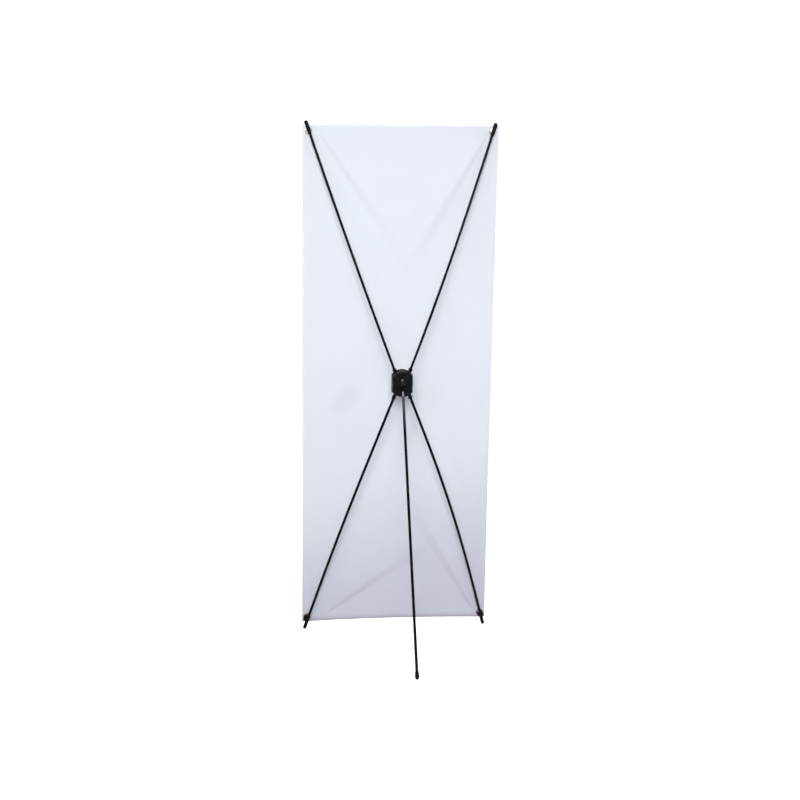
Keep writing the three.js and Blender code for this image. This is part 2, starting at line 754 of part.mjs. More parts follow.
// The origin is on the floor, in the middle of the whole object
stand.updateMatrixWorld(true);
const extent = new THREE.Box3().setFromObject(stand, true);
const middle = extent.getCenter(new THREE.Vector3());
stand.position.set(-middle.x, -middle.y, -extent.min.z);

export default stand;
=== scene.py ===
import json
from math import atan, atan2, cos, exp, hypot, pi, radians, sin

import bmesh
import bpy
from mathutils import Matrix, Vector


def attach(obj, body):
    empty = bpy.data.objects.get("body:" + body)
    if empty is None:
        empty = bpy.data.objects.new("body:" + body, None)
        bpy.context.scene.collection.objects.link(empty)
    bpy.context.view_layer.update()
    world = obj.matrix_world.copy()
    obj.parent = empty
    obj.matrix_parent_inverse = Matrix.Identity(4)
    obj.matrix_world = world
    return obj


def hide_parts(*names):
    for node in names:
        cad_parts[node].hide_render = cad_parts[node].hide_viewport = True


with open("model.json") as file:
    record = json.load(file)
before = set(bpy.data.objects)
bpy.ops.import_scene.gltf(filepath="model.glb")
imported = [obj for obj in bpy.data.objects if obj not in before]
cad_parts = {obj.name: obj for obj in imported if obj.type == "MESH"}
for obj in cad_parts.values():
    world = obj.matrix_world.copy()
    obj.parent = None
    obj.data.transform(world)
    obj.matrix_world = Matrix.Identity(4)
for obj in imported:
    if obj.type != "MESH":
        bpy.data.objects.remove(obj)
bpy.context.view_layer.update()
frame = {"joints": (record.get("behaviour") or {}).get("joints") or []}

mm = 0.001
joints = {joint["name"]: joint for joint in frame["joints"]}
print("frame loaded")


# Small tools for meshes

alongY = Matrix.Rotation(-pi / 2, 4, "X")      # puts a bar that lies along Z along Y
alongX = Matrix.Rotation(pi / 2, 4, "Y")


def smoothRise(value, low, high):
    share = min(max((value - low) / (high - low), 0), 1)
    return share * share * (3 - 2 * share)


def smoothShade(mesh, sharpAbove):
    mesh.shade_smooth()
    mesh.set_sharp_from_angle(angle=radians(sharpAbove))


def makeObject(name, bm, sharpAbove=35):
    bmesh.ops.remove_doubles(bm, verts=bm.verts, dist=0.002 * mm)
    bmesh.ops.recalc_face_normals(bm, faces=bm.faces)
    mesh = bpy.data.meshes.new(name)
    bm.to_mesh(mesh)
    bm.free()
    smoothShade(mesh, sharpAbove)
    obj = bpy.data.objects.new(name, mesh)
    bpy.context.scene.collection.objects.link(obj)
    return obj


def settle(obj, sharpAbove=35):
    # applies the modifiers and keeps one clean mesh
    graph = bpy.context.evaluated_depsgraph_get()
    mesh = bpy.data.meshes.new_from_object(obj.evaluated_get(graph))
    obj.modifiers.clear()
    obj.data = mesh
    mesh.name = obj.name
    smoothShade(mesh, sharpAbove)


def combine(obj, bm, operation="DIFFERENCE"):
    # cuts a second shape away from a piece, or joins it on with UNION, and uses it up
    other = makeObject("cutter", bm)
    cut = obj.modifiers.new("combine", "BOOLEAN")
    cut.operation = operation
    cut.solver = "EXACT"
    cut.use_self = True
    cut.object = other
    settle(obj)
    bpy.data.objects.remove(other)


def soften(obj, width):
    # a small round along every sharp edge, as a mould leaves it
    soft = obj.modifiers.new("soft edges", "BEVEL")
    soft.width = width
    soft.segments = 2
    soft.limit_method = "ANGLE"
    soft.angle_limit = radians(50)
    soft.use_clamp_overlap = True
    settle(obj, sharpAbove=45)


def spun(profile, place=None, steps=48):
    # turns a profile of (radius, height) about Z; it starts and ends on the axis or closes
    bm = bmesh.new()
    points = [bm.verts.new((radius, 0, height)) for radius, height in profile]
    edges = [bm.edges.new(pair) for pair in zip(points, points[1:])]
    bmesh.ops.spin(bm, geom=points + edges, cent=(0, 0, 0), axis=(0, 0, 1), angle=2 * pi,
                   steps=steps, use_merge=True, use_duplicate=False)
    bmesh.ops.transform(bm, matrix=place or Matrix(), verts=bm.verts)
    return bm


def arc(centre, radius, start, end, steps=4):
    # the points of a round stretch of a profile, angles in degrees
    turns = [radians(start + (end - start) * step / steps) for step in range(steps + 1)]
    return [(centre[0] + radius * cos(turn), centre[1] + radius * sin(turn)) for turn in turns]


def corner(radius, height, soft, low=False, steps=4):
    # the rounded outer corner of a turned piece, at its low or high end
    if low:
        return arc((radius - soft, height + soft), soft, -90, 0, steps)
    return arc((radius - soft, height - soft), soft, 0, 90, steps)


def roundedBar(radius, low, high, soft):
    # the profile of a turned bar with both its edges rounded
    return [(0, low)] + corner(radius, low, soft, low=True) + corner(radius, high, soft) + [(0, high)]


def addBar(bm, radius, low, high, place=None):
    middle = Matrix.Translation((0, 0, (low + high) / 2))
    bmesh.ops.create_cone(bm, cap_ends=True, segments=40, radius1=radius, radius2=radius,
                          depth=high - low, matrix=(place or Matrix()) @ middle)
    return bm


def block(low, high):
    bm = bmesh.new()
    low, high = Vector(low), Vector(high)
    place = Matrix.Translation((low + high) / 2) @ Matrix.Diagonal((*(high - low), 1))
    bmesh.ops.create_cube(bm, size=1, matrix=place)
    return bm


def plate(outline, low, high, bevel=0):
    # an outline in x and z made a plate between two depths; the bevel is on the high side
    bm = bmesh.new()
    face = bm.faces.new([bm.verts.new((x, low, z)) for x, z in outline])
    made = bmesh.ops.extrude_face_region(bm, geom=[face])["geom"]
    moved = [part for part in made if isinstance(part, bmesh.types.BMVert)]
    bmesh.ops.translate(bm, verts=moved, vec=(0, high - low, 0))
    if bevel:
        rim = [part for part in made if isinstance(part, bmesh.types.BMEdge)]
        bmesh.ops.bevel(bm, geom=rim, offset=bevel, offset_type="OFFSET", affect="EDGES",
                        segments=6, profile=0.5, material=-1)
    return bm


def joinInto(bm, part):
    bmesh.ops.recalc_face_normals(part, faces=part.faces)
    mesh = bpy.data.meshes.new("part")
    part.to_mesh(mesh)
    part.free()
    bm.from_mesh(mesh)
    bpy.data.meshes.remove(mesh)


def sweep(points, radius, sides=24):
    # draws a round section along points, each ring square to the line
    bm = bmesh.new()
    places = []
    for index, point in enumerate(points):
        ahead = points[min(index + 1, len(points) - 1)] - points[max(index - 1, 0)]
        places.append(Matrix.Translation(point) @ ahead.to_track_quat("Z", "Y").to_matrix().to_4x4())
    ring = bmesh.ops.create_circle(bm, cap_ends=True, segments=sides, radius=radius, matrix=places[0])
    end = ring["verts"][0].link_faces[0]
    for here, there in zip(places, places[1:]):
        made = bmesh.ops.extrude_face_region(bm, geom=[end])["geom"]
        moved = [part for part in made if isinstance(part, bmesh.types.BMVert)]
        bmesh.ops.transform(bm, matrix=there @ here.inverted(), verts=moved)
        end = next(part for part in made if isinstance(part, bmesh.types.BMFace))
    return bm


def trimAtFloor(obj):
    bm = bmesh.new()
    bm.from_mesh(obj.data)
    cut = bmesh.ops.bisect_plane(bm, geom=bm.verts[:] + bm.edges[:] + bm.faces[:], plane_co=(0, 0, 0),
                                 plane_no=(0, 0, 1), clear_inner=True, dist=0.001 * mm)["geom_cut"]
    edges = [part for part in cut if isinstance(part, bmesh.types.BMEdge)]
    bmesh.ops.holes_fill(bm, edges=edges, sides=0)
    bmesh.ops.recalc_face_normals(bm, faces=bm.faces)
    bm.to_mesh(obj.data)
    bm.free()


def dress(obj, body, slotName, *replaced):
    obj.data.materials.clear()
    obj.data.materials.append(finishes[slotName])
    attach(obj, body)
    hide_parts(*replaced)
    return obj


# Shader maths: a socket that takes part in Python sums, and one method for every other node

class Socket:
    def __init__(self, tree, socket):
        self.tree, self.socket = tree, socket

    def maths(self, operation, other, flip=False):
        pair = (other, self) if flip else (self, other)
        return addNode(self.tree, "ShaderNodeMath", {"operation": operation}, {0: pair[0], 1: pair[1]})

    def __add__(self, other):
        return self.maths("ADD", other)

    def __radd__(self, other):
        return self.maths("ADD", other, True)

    def __sub__(self, other):
        return self.maths("SUBTRACT", other)

    def __rsub__(self, other):
        return self.maths("SUBTRACT", other, True)

    def __mul__(self, other):
        return self.maths("MULTIPLY", other)

    def __rmul__(self, other):
        return self.maths("MULTIPLY", other, True)

    def __pow__(self, other):
        return self.maths("POWER", other)

    def spread(self, low, high):
        # a smooth mask that goes from 0 at low to 1 at high
        settings = {"interpolation_type": "SMOOTHSTEP", "clamp": True}
        values = {"Value": self, "From Min": low, "From Max": high}
        return addNode(self.tree, "ShaderNodeMapRange", settings, values)


def addNode(tree, kind, settings=None, inputs=None, output=0):
    made = tree.nodes.new(kind)
    for name, value in (settings or {}).items():
        setattr(made, name, value)
    for name, value in (inputs or {}).items():
        if isinstance(value, Socket):
            tree.links.new(value.socket, made.inputs[name])
        else:
            made.inputs[name].default_value = value
    return Socket(tree, made.outputs[output])


def mixColours(tree, share, first, second):
    # a Mix node's colour sockets go by number, because they share their names with others
    return addNode(tree, "ShaderNodeMix", {"data_type": "RGBA"}, {0: share, 6: first, 7: second}, 2)


class Finish:
    # a material that is filled in piece by piece
    def __init__(self, name, **constants):
        self.material = bpy.data.materials.new(name)
        self.material.use_nodes = True
        self.tree = self.material.node_tree
        self.shader = self.tree.nodes["Principled BSDF"]
        for key, value in constants.items():
            self.shader.inputs[key.replace("_", " ")].default_value = value

    def node(self, kind, settings=None, inputs=None, output=0):
        return addNode(self.tree, kind, settings, inputs, output)

    def places(self):
        return self.node("ShaderNodeTexCoord", output="Object")

    def axis(self, name, source=None):
        return self.node("ShaderNodeSeparateXYZ", {}, {0: source or self.places()}, name)

    def noise(self, scale, detail=3, roughness=0.5, stretch=(1, 1, 1), source=None):
        spots = self.node("ShaderNodeMapping", {}, {"Vector": source or self.places(), "Scale": stretch})
        values = {"Vector": spots, "Scale": scale, "Detail": detail, "Roughness": roughness}
        return self.node("ShaderNodeTexNoise", {}, values, "Fac")

    def blend(self, share, first, second):
        return mixColours(self.tree, share, first, second)

    def feed(self, **values):
        for key, value in values.items():
            self.tree.links.new(value.socket, self.shader.inputs[key.replace("_", " ")])

    def bump(self, height, distance, strength=1.0):
        values = {"Height": height, "Distance": distance, "Strength": strength}
        self.feed(Normal=self.node("ShaderNodeBump", {}, values))


def tone(red, green, blue):
    return red, green, blue, 1


# The stand's layout, hung on a packed joint, with the sizes that its pieces share

layout = {
    "lean": radians(8), "gap": 0.3 * mm, "play": 0.5 * mm,
    "hubBehind": 100 * mm, "hubAboveEdge": 819 * mm, "hubSide": -3.6 * mm,
    "pivotSide": 16 * mm, "upperPivotRise": 17 * mm, "lowerPivotDrop": 22 * mm,
    "tipBehind": 7 * mm, "lowerTipBeyond": 16.8 * mm, "floorTrim": 0.8 * mm,
    "clothWidth": 600 * mm, "clothHeight": 1600 * mm, "clothThick": 0.6 * mm, "eyeletRise": 16.5 * mm,
    "capRadius": 5.75 * mm, "pegRadius": 2.5 * mm, "boreRadius": 6.2 * mm,
    "hair": 0.02 * mm,       # keeps the faces of shapes that are joined from coinciding
}
armKinds = {
    "upper": {"rod": 3.9 * mm, "boss": 3.75 * mm, "capLength": 36 * mm},
    "lower": {"rod": 4.2 * mm, "boss": 9.25 * mm, "capLength": 44 * mm},
}
# an arm's tip in from the side and past the end, its eyelet in from the side, its bow and its fold's slant
armSettings = {
    "upper_left": (11 * mm, 5.4 * mm, 18.5 * mm, 3.8 * mm, radians(33)),
    "upper_right": (9.3 * mm, 9.3 * mm, 16 * mm, 3.6 * mm, radians(35)),
    "lower_left": (6.7 * mm, 16.8 * mm, 17 * mm, 15.8 * mm, radians(34)),
    "lower_right": (8.6 * mm, 16.8 * mm, 16 * mm, 8.6 * mm, radians(50)),
}
# a corner's crease: its place in from the side and from the end, slant, step, painted shade and reach
creaseSettings = {
    "upper_left": (28.5 * mm, 16.5 * mm, radians(29.5), 2 * mm, 0.16, 0.72),
    "upper_right": (46 * mm, 16.5 * mm, radians(34.2), 2 * mm, 0.16, 0.66),
    "lower_left": (34 * mm, 16.5 * mm, radians(30.6), 3.2 * mm, 0.48, 0.54),
    "lower_right": (67 * mm, 16.5 * mm, radians(55.8), 3.2 * mm, 0.36, 0.54),
}

# the leaning frame: x across, y behind the cloth, z up along it
gap = layout["gap"]
lean = layout["lean"]
tipHeight = (layout["capRadius"] - layout["floorTrim"] + layout["tipBehind"] * sin(lean)) / cos(lean)
clothBottom = tipHeight + layout["lowerTipBeyond"]
clothMiddle = clothBottom + layout["clothHeight"] / 2
hubPlace = Vector((layout["hubSide"], layout["hubBehind"], clothBottom + layout["hubAboveEdge"]))
pivotWorld = Vector(joints["fold_upper_left"]["pos_m"])
pivotLeaning = hubPlace + Vector((-layout["pivotSide"], 0, layout["upperPivotRise"]))
leanTurn = Matrix.Rotation(-lean, 4, "X")
leaning = Matrix.Translation(pivotWorld - leanTurn @ pivotLeaning) @ leanTurn
hubFrame = leaning @ Matrix.Translation(hubPlace)


def armLayout(name):
    s = layout
    inset, beyond, eyeletInset, bow, slant = armSettings[name]
    upper = name.startswith("upper")
    # the signs of the arm's corner in z and in x, and of its bow
    level = 1 if upper else -1
    side = 1 if name.endswith("right") else -1
    outward = side * level
    rise = s["upperPivotRise"] if upper else -s["lowerPivotDrop"]
    pivot = hubPlace + Vector((side * s["pivotSide"], 0, rise))
    halfWidth, halfHeight = s["clothWidth"] / 2, s["clothHeight"] / 2
    tip = Vector((side * (halfWidth - inset), 0, clothMiddle + level * (halfHeight + beyond)))
    chord = tip - pivot
    length = hypot(chord.x, chord.z)
    turn = atan2(chord.x, chord.z)
    eyeletUp = clothMiddle + level * (halfHeight - s["eyeletRise"])
    eyelet = Vector((side * (halfWidth - eyeletInset), 0, eyeletUp))
    # the peg leans into the far corner of its eyelet
    pegSeat = (s["boreRadius"] - s["pegRadius"] - gap) / 2 ** 0.5
    return {
        "name": name, "upper": upper, "side": side, "level": level, "outward": outward,
        "pivot": pivot, "length": length, "turn": turn, "bow": bow * outward, "slant": slant,
        "forward": s["hubBehind"] - s["tipBehind"], "eyelet": eyelet,
        "peg": eyelet + Vector((side * pegSeat, 0, level * pegSeat)),
        "frame": leaning @ Matrix.Translation(pivot) @ Matrix.Rotation(turn, 4, "Y"),
        "socketTurn": atan(bow * outward * pi / length), **armKinds["upper" if upper else "lower"],
    }


arms = [armLayout(name) for name in armSettings]


# Finishes: a noise is its scale, detail, roughness and stretch, a rise is a bump's distance and strength

weave = {
    # painted shade: the top and bottom tones and their falloff darken the cloth towards the floor and to one
    # side
    "top": tone(0.82, 0.865, 0.91), "bottom": tone(0.67, 0.68, 0.775), "shadeFalloff": (0.66, 0.08), "slant": 0.35,
    "markAndShade": tone(0.55, 0.52, 0.66), "slubsAcross": (70, 4, 0.6, (14, 1, 1)),
    "slubsAlong": (70, 4, 0.6, (1, 14, 1)), "slubRange": (0.8, 1.35), "slubShare": 0.07,
    "clouds": (5, 4, 0.55), "cloudRange": (0.4, 0.8), "cloudShare": 0.07, "rearFacing": (0.2, 0.6),
    "smudge": (45, 4, 0.7), "smudgeAt": (0.463, 0.745), "smudgeReach": 0.066, "smudgeShare": 0.3,
    "creaseHalfWidth": 4.5 * mm, "creaseSpread": 0.05, "creaseStart": (-20 * mm, 40 * mm),
    "creaseClouds": (14, 3, 0.6), "creaseBase": 0.7, "creaseVaries": 0.6,
    "hem": tone(0.36, 0.27, 0.33), "hemHeight": 4.2 * mm, "hemFull": 0.4, "hemShare": 0.7,
    "darkerBottomHeight": 26 * mm, "darkerBottomShare": 0.5, "threads": {"Scale": 560, "Distortion": 0.5, "Detail": 1},
    "threadRise": 0.5, "slubRise": 0.5, "lumps": (30, 5, 0.6), "lumpRise": 2, "rise": (0.06 * mm, 0.6),
    "rough": 0.56, "roughVaries": 0.16, "roughClouds": (40, 3),
}


def paintedCreaseShade(look, across, along):
    # painted shade: the cloth is darkened along the creases that run in from its corners, where less light
    # falls
    s = weave
    total = 0
    for name, (startX, startZ, slant, _, creaseShade, reach) in creaseSettings.items():
        inX = (layout["clothWidth"] - across if name.endswith("right") else across) - startX
        inZ = (layout["clothHeight"] - along if name.startswith("upper") else along) - startZ
        far = inX * sin(slant) + inZ * cos(slant)
        beside = inX * cos(slant) - inZ * sin(slant)
        halfWidth = far * s["creaseSpread"] + s["creaseHalfWidth"]
        line = (beside * beside).spread(halfWidth * halfWidth, 0.0)
        total = total + line * far.spread(*s["creaseStart"]) * far.spread(reach, 0.0) * creaseShade
    return total * (s["creaseBase"] + s["creaseVaries"] * look.noise(*s["creaseClouds"]))


def clothFinish():
    # coated cloth with fine threads and slubs, painted shade that darkens it towards the floor and to one
    # side, a smudge behind, painted shade along the creases, and darker towards the bottom edge with a dark
    # line along it
    s = weave
    look = Finish("bannerFabric", Sheen_Weight=0.12, Sheen_Roughness=0.5, Specular_IOR_Level=0.3)
    flat = look.node("ShaderNodeUVMap", {"uv_map": "flat"})
    across, along = look.axis("X", flat), look.axis("Y", flat)
    # painted shade: darker towards the floor and to one side, standing in for how the light falls off
    paintedFalloff = look.blend((along + across * s["slant"]).spread(*s["shadeFalloff"]), s["top"], s["bottom"])
    slubs = look.noise(*s["slubsAcross"], flat) + look.noise(*s["slubsAlong"], flat)
    woven = look.blend(slubs.spread(*s["slubRange"]) * s["slubShare"], paintedFalloff, s["markAndShade"])
    clouds = look.noise(*s["clouds"]).spread(*s["cloudRange"]) * s["cloudShare"]
    cloudy = look.blend(clouds, woven, s["markAndShade"])
    offX, offY = across - s["smudgeAt"][0], along - s["smudgeAt"][1]
    normal = look.node("ShaderNodeNewGeometry", output="Normal")
    rear = look.axis("Y", normal).spread(*s["rearFacing"])
    smudge = (offX * offX + offY * offY + offX * offY).spread(s["smudgeReach"] ** 2, 0.0) ** 2
    smudged = smudge * rear * look.noise(*s["smudge"]) * s["smudgeShare"]
    marked = look.blend(smudged, cloudy, s["markAndShade"])
    # painted shade along the creases
    creaseShaded = look.blend(paintedCreaseShade(look, across, along), marked, s["markAndShade"])
    # darker towards the bottom edge, with a dark line along the edge itself
    low = along.spread(s["darkerBottomHeight"], 0.0)
    darkerBottom = look.blend(low * low * s["darkerBottomShare"], creaseShaded, s["hem"])
    edge = along.spread(s["hemHeight"], s["hemFull"] * s["hemHeight"])
    look.feed(Base_Color=look.blend(edge * s["hemShare"], darkerBottom, s["hem"]))
    values = {"Vector": flat, **s["threads"]}
    ways = [look.node("ShaderNodeTexWave", {"bands_direction": way, "wave_profile": "SIN"}, values, "Fac")
            for way in ("X", "Y")]
    threads = ways[0] * s["threadRise"] + ways[1] * s["threadRise"]
    look.bump(threads + slubs * s["slubRise"] + look.noise(*s["lumps"]) * s["lumpRise"], *s["rise"])
    look.feed(Roughness=s["rough"] + s["roughVaries"] * look.noise(*s["roughClouds"]))
    return look.material


rodLook = {
    "haze": (60, 4, 0.6), "hazeRange": (0.4, 0.8), "streaks": (900, 2, 0.5, (1, 1, 0.04)), "grain": (2500, 2),
    "tones": (tone(0.0016, 0.0016, 0.0026), tone(0.005, 0.005, 0.008)),
    # painted highlight: the next entries make the leg's upper end below the hub pale grey
    "wearAndHighlight": tone(0.10, 0.093, 0.105), "wearAndHighlightShare": 0.85, "highlightRises": (0.68, 0.765),
    "highlightEnds": (0.83, 0.80), "highlightBehind": (-0.107, -0.100),
    "rough": 0.20, "roughHaze": 0.14, "roughStreaks": 0.08, "grainRise": 0.6, "rise": (0.02 * mm, 0.5),
}


def rodFinish():
    # wound glass fibre with a gloss, long faint drawing marks, and a painted highlight that greys the leg's
    # top under the hub
    s = rodLook
    look = Finish("rodGloss", Specular_IOR_Level=0.11)
    haze = look.noise(*s["haze"])
    streaks = look.noise(*s["streaks"])
    body = look.blend(haze.spread(*s["hazeRange"]), *s["tones"])
    height, depth = look.axis("Z"), look.axis("Y")
    # painted highlight: the leg's upper end, just below the hub, is made pale grey
    wearAndHighlight = height.spread(*s["highlightRises"]) * height.spread(*s["highlightEnds"])
    wearAndHighlight = wearAndHighlight * depth.spread(*s["highlightBehind"])
    look.feed(Base_Color=look.blend(wearAndHighlight * s["wearAndHighlightShare"], body, s["wearAndHighlight"]))
    look.feed(Roughness=s["rough"] + s["roughHaze"] * haze + s["roughStreaks"] * streaks)
    look.bump(streaks + s["grainRise"] * look.noise(*s["grain"]), *s["rise"])
    return look.material


hubLook = {
    "haze": (90, 4, 0.6), "hazeRange": (0.35, 0.75), "rubs": (420, 6, 0.75), "rubRange": (0.60, 0.74),
    "grain": (3200, 2), "tones": (tone(0.0032, 0.0034, 0.0046), tone(0.0075, 0.008, 0.0102)),
    "wearAndHighlight": tone(0.05, 0.05, 0.055), "wearAndHighlightShare": 0.25, "rough": 0.22, "roughHaze": 0.14,
    "roughRubs": 0.12, "rise": (0.04 * mm, 0.5),
    "handledAt": (-0.0036, -0.0927, 0.8226), "handledReach": 16 * mm,
}


def hubFinish():
    # black moulding: fine grain, a slow change of gloss, a few pale rubs and a polished raised middle
    s = hubLook
    look = Finish("hubPlastic", Specular_IOR_Level=0.18, Coat_Roughness=0.24)
    haze = look.noise(*s["haze"])
    rubs = look.noise(*s["rubs"]).spread(*s["rubRange"])
    body = look.blend(haze.spread(*s["hazeRange"]), *s["tones"])
    look.feed(Base_Color=look.blend(rubs * s["wearAndHighlightShare"], body, s["wearAndHighlight"]))
    ends = {0: look.places(), 1: s["handledAt"]}
    reach = look.node("ShaderNodeVectorMath", {"operation": "DISTANCE"}, ends, "Value")
    look.feed(Roughness=s["rough"] + s["roughHaze"] * haze + s["roughRubs"] * rubs)
    look.feed(Coat_Weight=reach.spread(s["handledReach"], 0.0))
    look.bump(look.noise(*s["grain"]), *s["rise"])
    return look.material


capLook = {
    "haze": (140, 4, 0.6), "scuffs": (700, 5, 0.7), "scuffRange": (0.55, 0.72), "scuffBelow": (20 * mm, 0.0),
    "grain": (2600, 3), "tones": (tone(0.0018, 0.0018, 0.0022), tone(0.005, 0.005, 0.0056)),
    "scuffed": tone(0.10, 0.10, 0.10), "scuffShare": 0.8, "rough": 0.36, "roughHaze": 0.22,
    "roughScuffs": 0.2, "rise": (0.05 * mm, 0.6),
}


def capFinish():
    # the same black on caps and foot, duller, and scuffed where they stand on the floor
    s = capLook
    look = Finish("capPlastic", Specular_IOR_Level=0.15)
    haze = look.noise(*s["haze"])
    scuffs = look.noise(*s["scuffs"]).spread(*s["scuffRange"]) * look.axis("Z").spread(*s["scuffBelow"])
    body = look.blend(haze, *s["tones"])
    look.feed(Base_Color=look.blend(scuffs * s["scuffShare"], body, s["scuffed"]))
    look.feed(Roughness=s["rough"] + s["roughHaze"] * haze + s["roughScuffs"] * scuffs)
    look.bump(look.noise(*s["grain"]), *s["rise"])
    return look.material


eyeletLook = {
    "stain": (260, 5, 0.65), "fine": (1500, 4, 0.6), "paintedDarkBelow": (0.9, 0.5),
    "plate": (tone(0.86, 0.82, 0.73), tone(0.38, 0.31, 0.25)), "plateRange": (0.45, 0.75),
    # painted reflection: the next tones darken the eyelets near the floor
    "darkReflection": (tone(0.05, 0.034, 0.03), tone(0.52, 0.28, 0.19)), "darkReflectionRange": (0.40, 0.62),
    "rough": 0.18, "roughStain": 0.25, "roughFine": 0.08, "rise": (0.04 * mm, 0.5),
}


def eyeletFinish():
    # warm nickel plate; the pair near the floor is painted dark with coppery glints, a painted reflection of
    # the dark floor
    s = eyeletLook
    look = Finish("eyeletNickel", Metallic=1.0)
    stain = look.noise(*s["stain"])
    fine = look.noise(*s["fine"])
    bright = look.blend(stain.spread(*s["plateRange"]), *s["plate"])
    darkReflected = look.blend(stain.spread(*s["darkReflectionRange"]), *s["darkReflection"])
    # painted reflection: the eyelets low down are darkened by their height
    look.feed(Base_Color=look.blend(look.axis("Z").spread(*s["paintedDarkBelow"]), bright, darkReflected))
    look.feed(Roughness=s["rough"] + s["roughStain"] * stain + s["roughFine"] * fine)
    look.bump(fine, *s["rise"])
    return look.material


screwLook = {"haze": (900, 4, 0.6), "tones": (tone(0.03, 0.03, 0.034), tone(0.11, 0.11, 0.12)),
             "rough": 0.28, "roughHaze": 0.25, "rise": (0.03 * mm, 0.5)}


def screwFinish():
    # blackened steel, unevenly matt
    s = screwLook
    look = Finish("screwSteel", Metallic=1.0)
    haze = look.noise(*s["haze"])
    look.feed(Base_Color=look.blend(haze, *s["tones"]), Roughness=s["rough"] + s["roughHaze"] * haze)
    look.bump(haze, *s["rise"])
    return look.material


spigotLook = {
    "patches": (180, 4, 0.6), "patchRange": (0.35, 0.75), "marks": (1400, 3, 0.6, (0.05, 0.4, 1)),
    "tones": (tone(0.86, 0.86, 0.86), tone(0.55, 0.55, 0.57)),
    "rough": 0.20, "roughPatches": 0.16, "roughMarks": 0.10, "rise": (0.02 * mm, 0.6),
}


def spigotFinish():
    # bright plate with turning marks round it, greyer in patches
    s = spigotLook
    look = Finish("spigotSteel", Metallic=1.0)
    patches = look.noise(*s["patches"])
    marks = look.noise(*s["marks"])
    look.feed(Base_Color=look.blend(patches.spread(*s["patchRange"]), *s["tones"]))
    look.feed(Roughness=s["rough"] + s["roughPatches"] * patches + s["roughMarks"] * marks)
    look.bump(marks, *s["rise"])
    return look.material


finishes = {
    "banner_fabric": clothFinish(),
    "rod_gloss": rodFinish(),
    "hub_plastic": hubFinish(),
    "cap_plastic": capFinish(),
    "eyelet_nickel": eyeletFinish(),
    "screw_steel": screwFinish(),
    "spigot_steel": spigotFinish(),
}
print("finishes made")


# Rods: a loaded rod leaves the hub in the hub's plane, bends forward to the cloth and bows outward

socketSizes = {
    "eye": 9.5 * mm, "halfEye": 5.5 * mm, "collar": 5.5 * mm, "reach": 29.5 * mm, "grip": 17 * mm,
    "lip": 1 * mm, "lipLength": 6 * mm, "lipRise": 0.3 * mm, "pivotBore": 2.3 * mm, "soft": 0.6 * mm,
}
capSizes = {"neck": 5.2 * mm, "grip": 16 * mm, "pegPast": 0.8 * mm, "soft": 0.6 * mm,
            "bossSoft": 0.5 * mm, "pegSoft": 0.8 * mm, "shoulder": (1.2 * mm, 2.8 * mm)}
rodSteps = 48


def rodPoint(arm, share):
    cantilever = (3 * share ** 2 - share ** 3) / 2
    return Vector((arm["bow"] * sin(pi * share), -arm["forward"] * cantilever, arm["length"] * share))


def makeRod(arm):
    start = (socketSizes["reach"] - socketSizes["grip"]) / arm["length"]
    end = 1 - (arm["capLength"] - capSizes["grip"]) / arm["length"]
    shares = [start + (end - start) * step / rodSteps for step in range(rodSteps + 1)]
    bm = sweep([rodPoint(arm, share) for share in shares], arm["rod"])
    bmesh.ops.transform(bm, matrix=arm["frame"], verts=bm.verts)
    rod = makeObject(arm["name"] + "_rod_tube", bm, sharpAbove=50)
    dress(rod, arm["name"] + "_arm", "rod_gloss", arm["name"] + "_rod")


for arm in arms:
    makeRod(arm)
print("rods made")


# Arm sockets: an eye that turns on the pivot screw and a collar for the rod

def makeSocket(arm):
    s = socketSizes
    eye = roundedBar(s["eye"], -s["halfEye"], s["halfEye"], s["soft"])
    socket = makeObject(arm["name"] + "_socket_moulding", spun(eye, alongY))
    radius = s["collar"] - layout["hair"]
    rim = s["collar"] + s["lip"]
    step = s["reach"] - s["lipLength"]
    sleeve = [(0, 0), (radius, 0), (radius, step - s["lip"])]
    sleeve += arc((rim - s["soft"], step + s["lipRise"]), s["soft"], -60, 0)
    sleeve += corner(rim, s["reach"], s["soft"]) + [(0, s["reach"])]
    combine(socket, spun(sleeve), "UNION")
    rooms = addBar(bmesh.new(), arm["rod"] + gap, s["reach"] - s["grip"] - gap, s["reach"] + s["grip"])
    addBar(rooms, s["pivotBore"], -2 * s["halfEye"], 2 * s["halfEye"], alongY)
    combine(socket, rooms)
    socket.data.transform(arm["frame"] @ Matrix.Rotation(arm["socketTurn"], 4, "Y"))
    dress(socket, arm["name"] + "_arm", "hub_plastic", arm["name"] + "_socket")


for arm in arms:
    makeSocket(arm)
print("sockets made")


# Eyelets and washers in the cloth's corners

ringSizes = {"outer": 11.25 * mm, "barrel": 0.7 * mm, "flange": 1.4 * mm, "washer": 1.3 * mm,
             "lip": 1.5 * mm, "lipThick": 0.7 * mm, "curl": 0.2 * mm, "soft": 0.5 * mm,
             "roll": 0.9 * mm, "rollRise": 0.45 * mm, "flat": (2.4 * mm, 1.6 * mm), "throat": 1.2 * mm,
             "washerEdge": ((0, 0.4 * mm), (0.5 * mm, 0.9 * mm)), "washerFlat": (1.5 * mm, 0.4 * mm)}
ringSeat = layout["clothThick"] / 2 + gap
washerRear = ringSeat + ringSizes["washer"]
barrelRear = washerRear + gap + ringSizes["lipThick"]
flangeFront = ringSeat + ringSizes["flange"]


